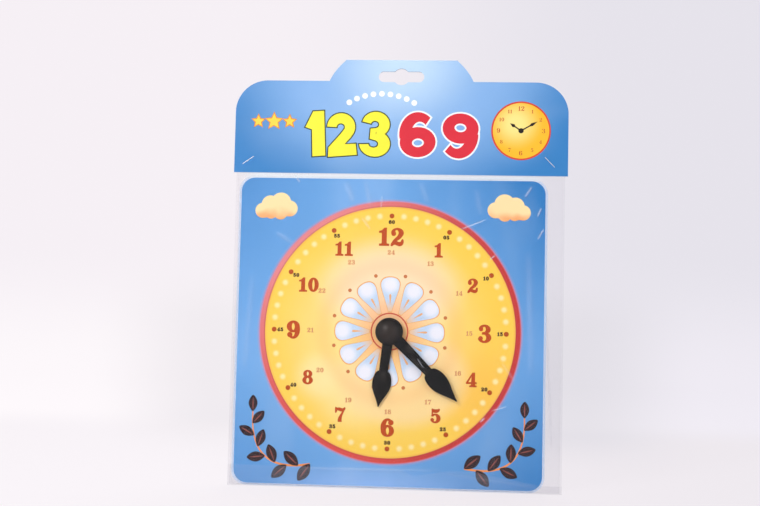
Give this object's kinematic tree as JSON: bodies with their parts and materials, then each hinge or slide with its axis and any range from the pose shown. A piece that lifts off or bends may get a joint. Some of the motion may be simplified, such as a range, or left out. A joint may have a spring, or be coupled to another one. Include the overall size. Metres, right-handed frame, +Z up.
{
  "type": "teaching clock",
  "caption": "Square board clock with a printed dial and black spade hands that turn by hand, sealed in a clear film bag under a stapled header card with a hang slot.",
  "frame": {"origin": "centre of the hang slot in the header card, in the middle of the card's thickness", "axes": "+X to the right seen from the front, +Z up, the front faces -Y; the hands turn about the Y direction"},
  "size_m": [0.242, 0.0147, 0.3096],
  "materials": {
    "greyboard": "matte",
    "blue_print": "satin",
    "white_liner": "matte",
    "red_ink": "satin",
    "yellow_ink": "satin",
    "cream_ink": "satin",
    "brown_ink": "satin",
    "black_plastic": "gloss",
    "header_print": "satin",
    "staple_wire": "satin",
    "clear_film": "gloss"
  },
  "bodies": {
    "display_pack": {"board_core": "greyboard", "face_sheet": "blue_print", "back_liner": "white_liner", "dial_ring": "red_ink", "dial_field": "yellow_ink", "minute_dots": "cream_ink", "five_minute_dots": "red_ink", "header_card": "header_print", "staple_left": "staple_wire", "staple_right": "staple_wire", "bag_front": "clear_film", "bag_back": "clear_film", "bag_seam_left": "clear_film", "bag_seam_right": "clear_film", "bag_bottom_fold": "clear_film", "bag_mouth": "clear_film"},
    "hour_hand": {"hour_hand": "black_plastic"},
    "minute_hand": {"minute_hand": "black_plastic", "back_button": "black_plastic"}
  },
  "joints": [
    {"name": "hour_hand_turn", "type": "hinge", "parent": "display_pack", "child": "hour_hand", "pos_m": [-0.0047, 0, -0.1851], "axis": [0, 1, 0], "continuous": true},
    {"name": "minute_hand_turn", "type": "hinge", "parent": "display_pack", "child": "minute_hand", "pos_m": [-0.0047, 0, -0.1851], "axis": [0, 1, 0], "continuous": true}
  ]
}
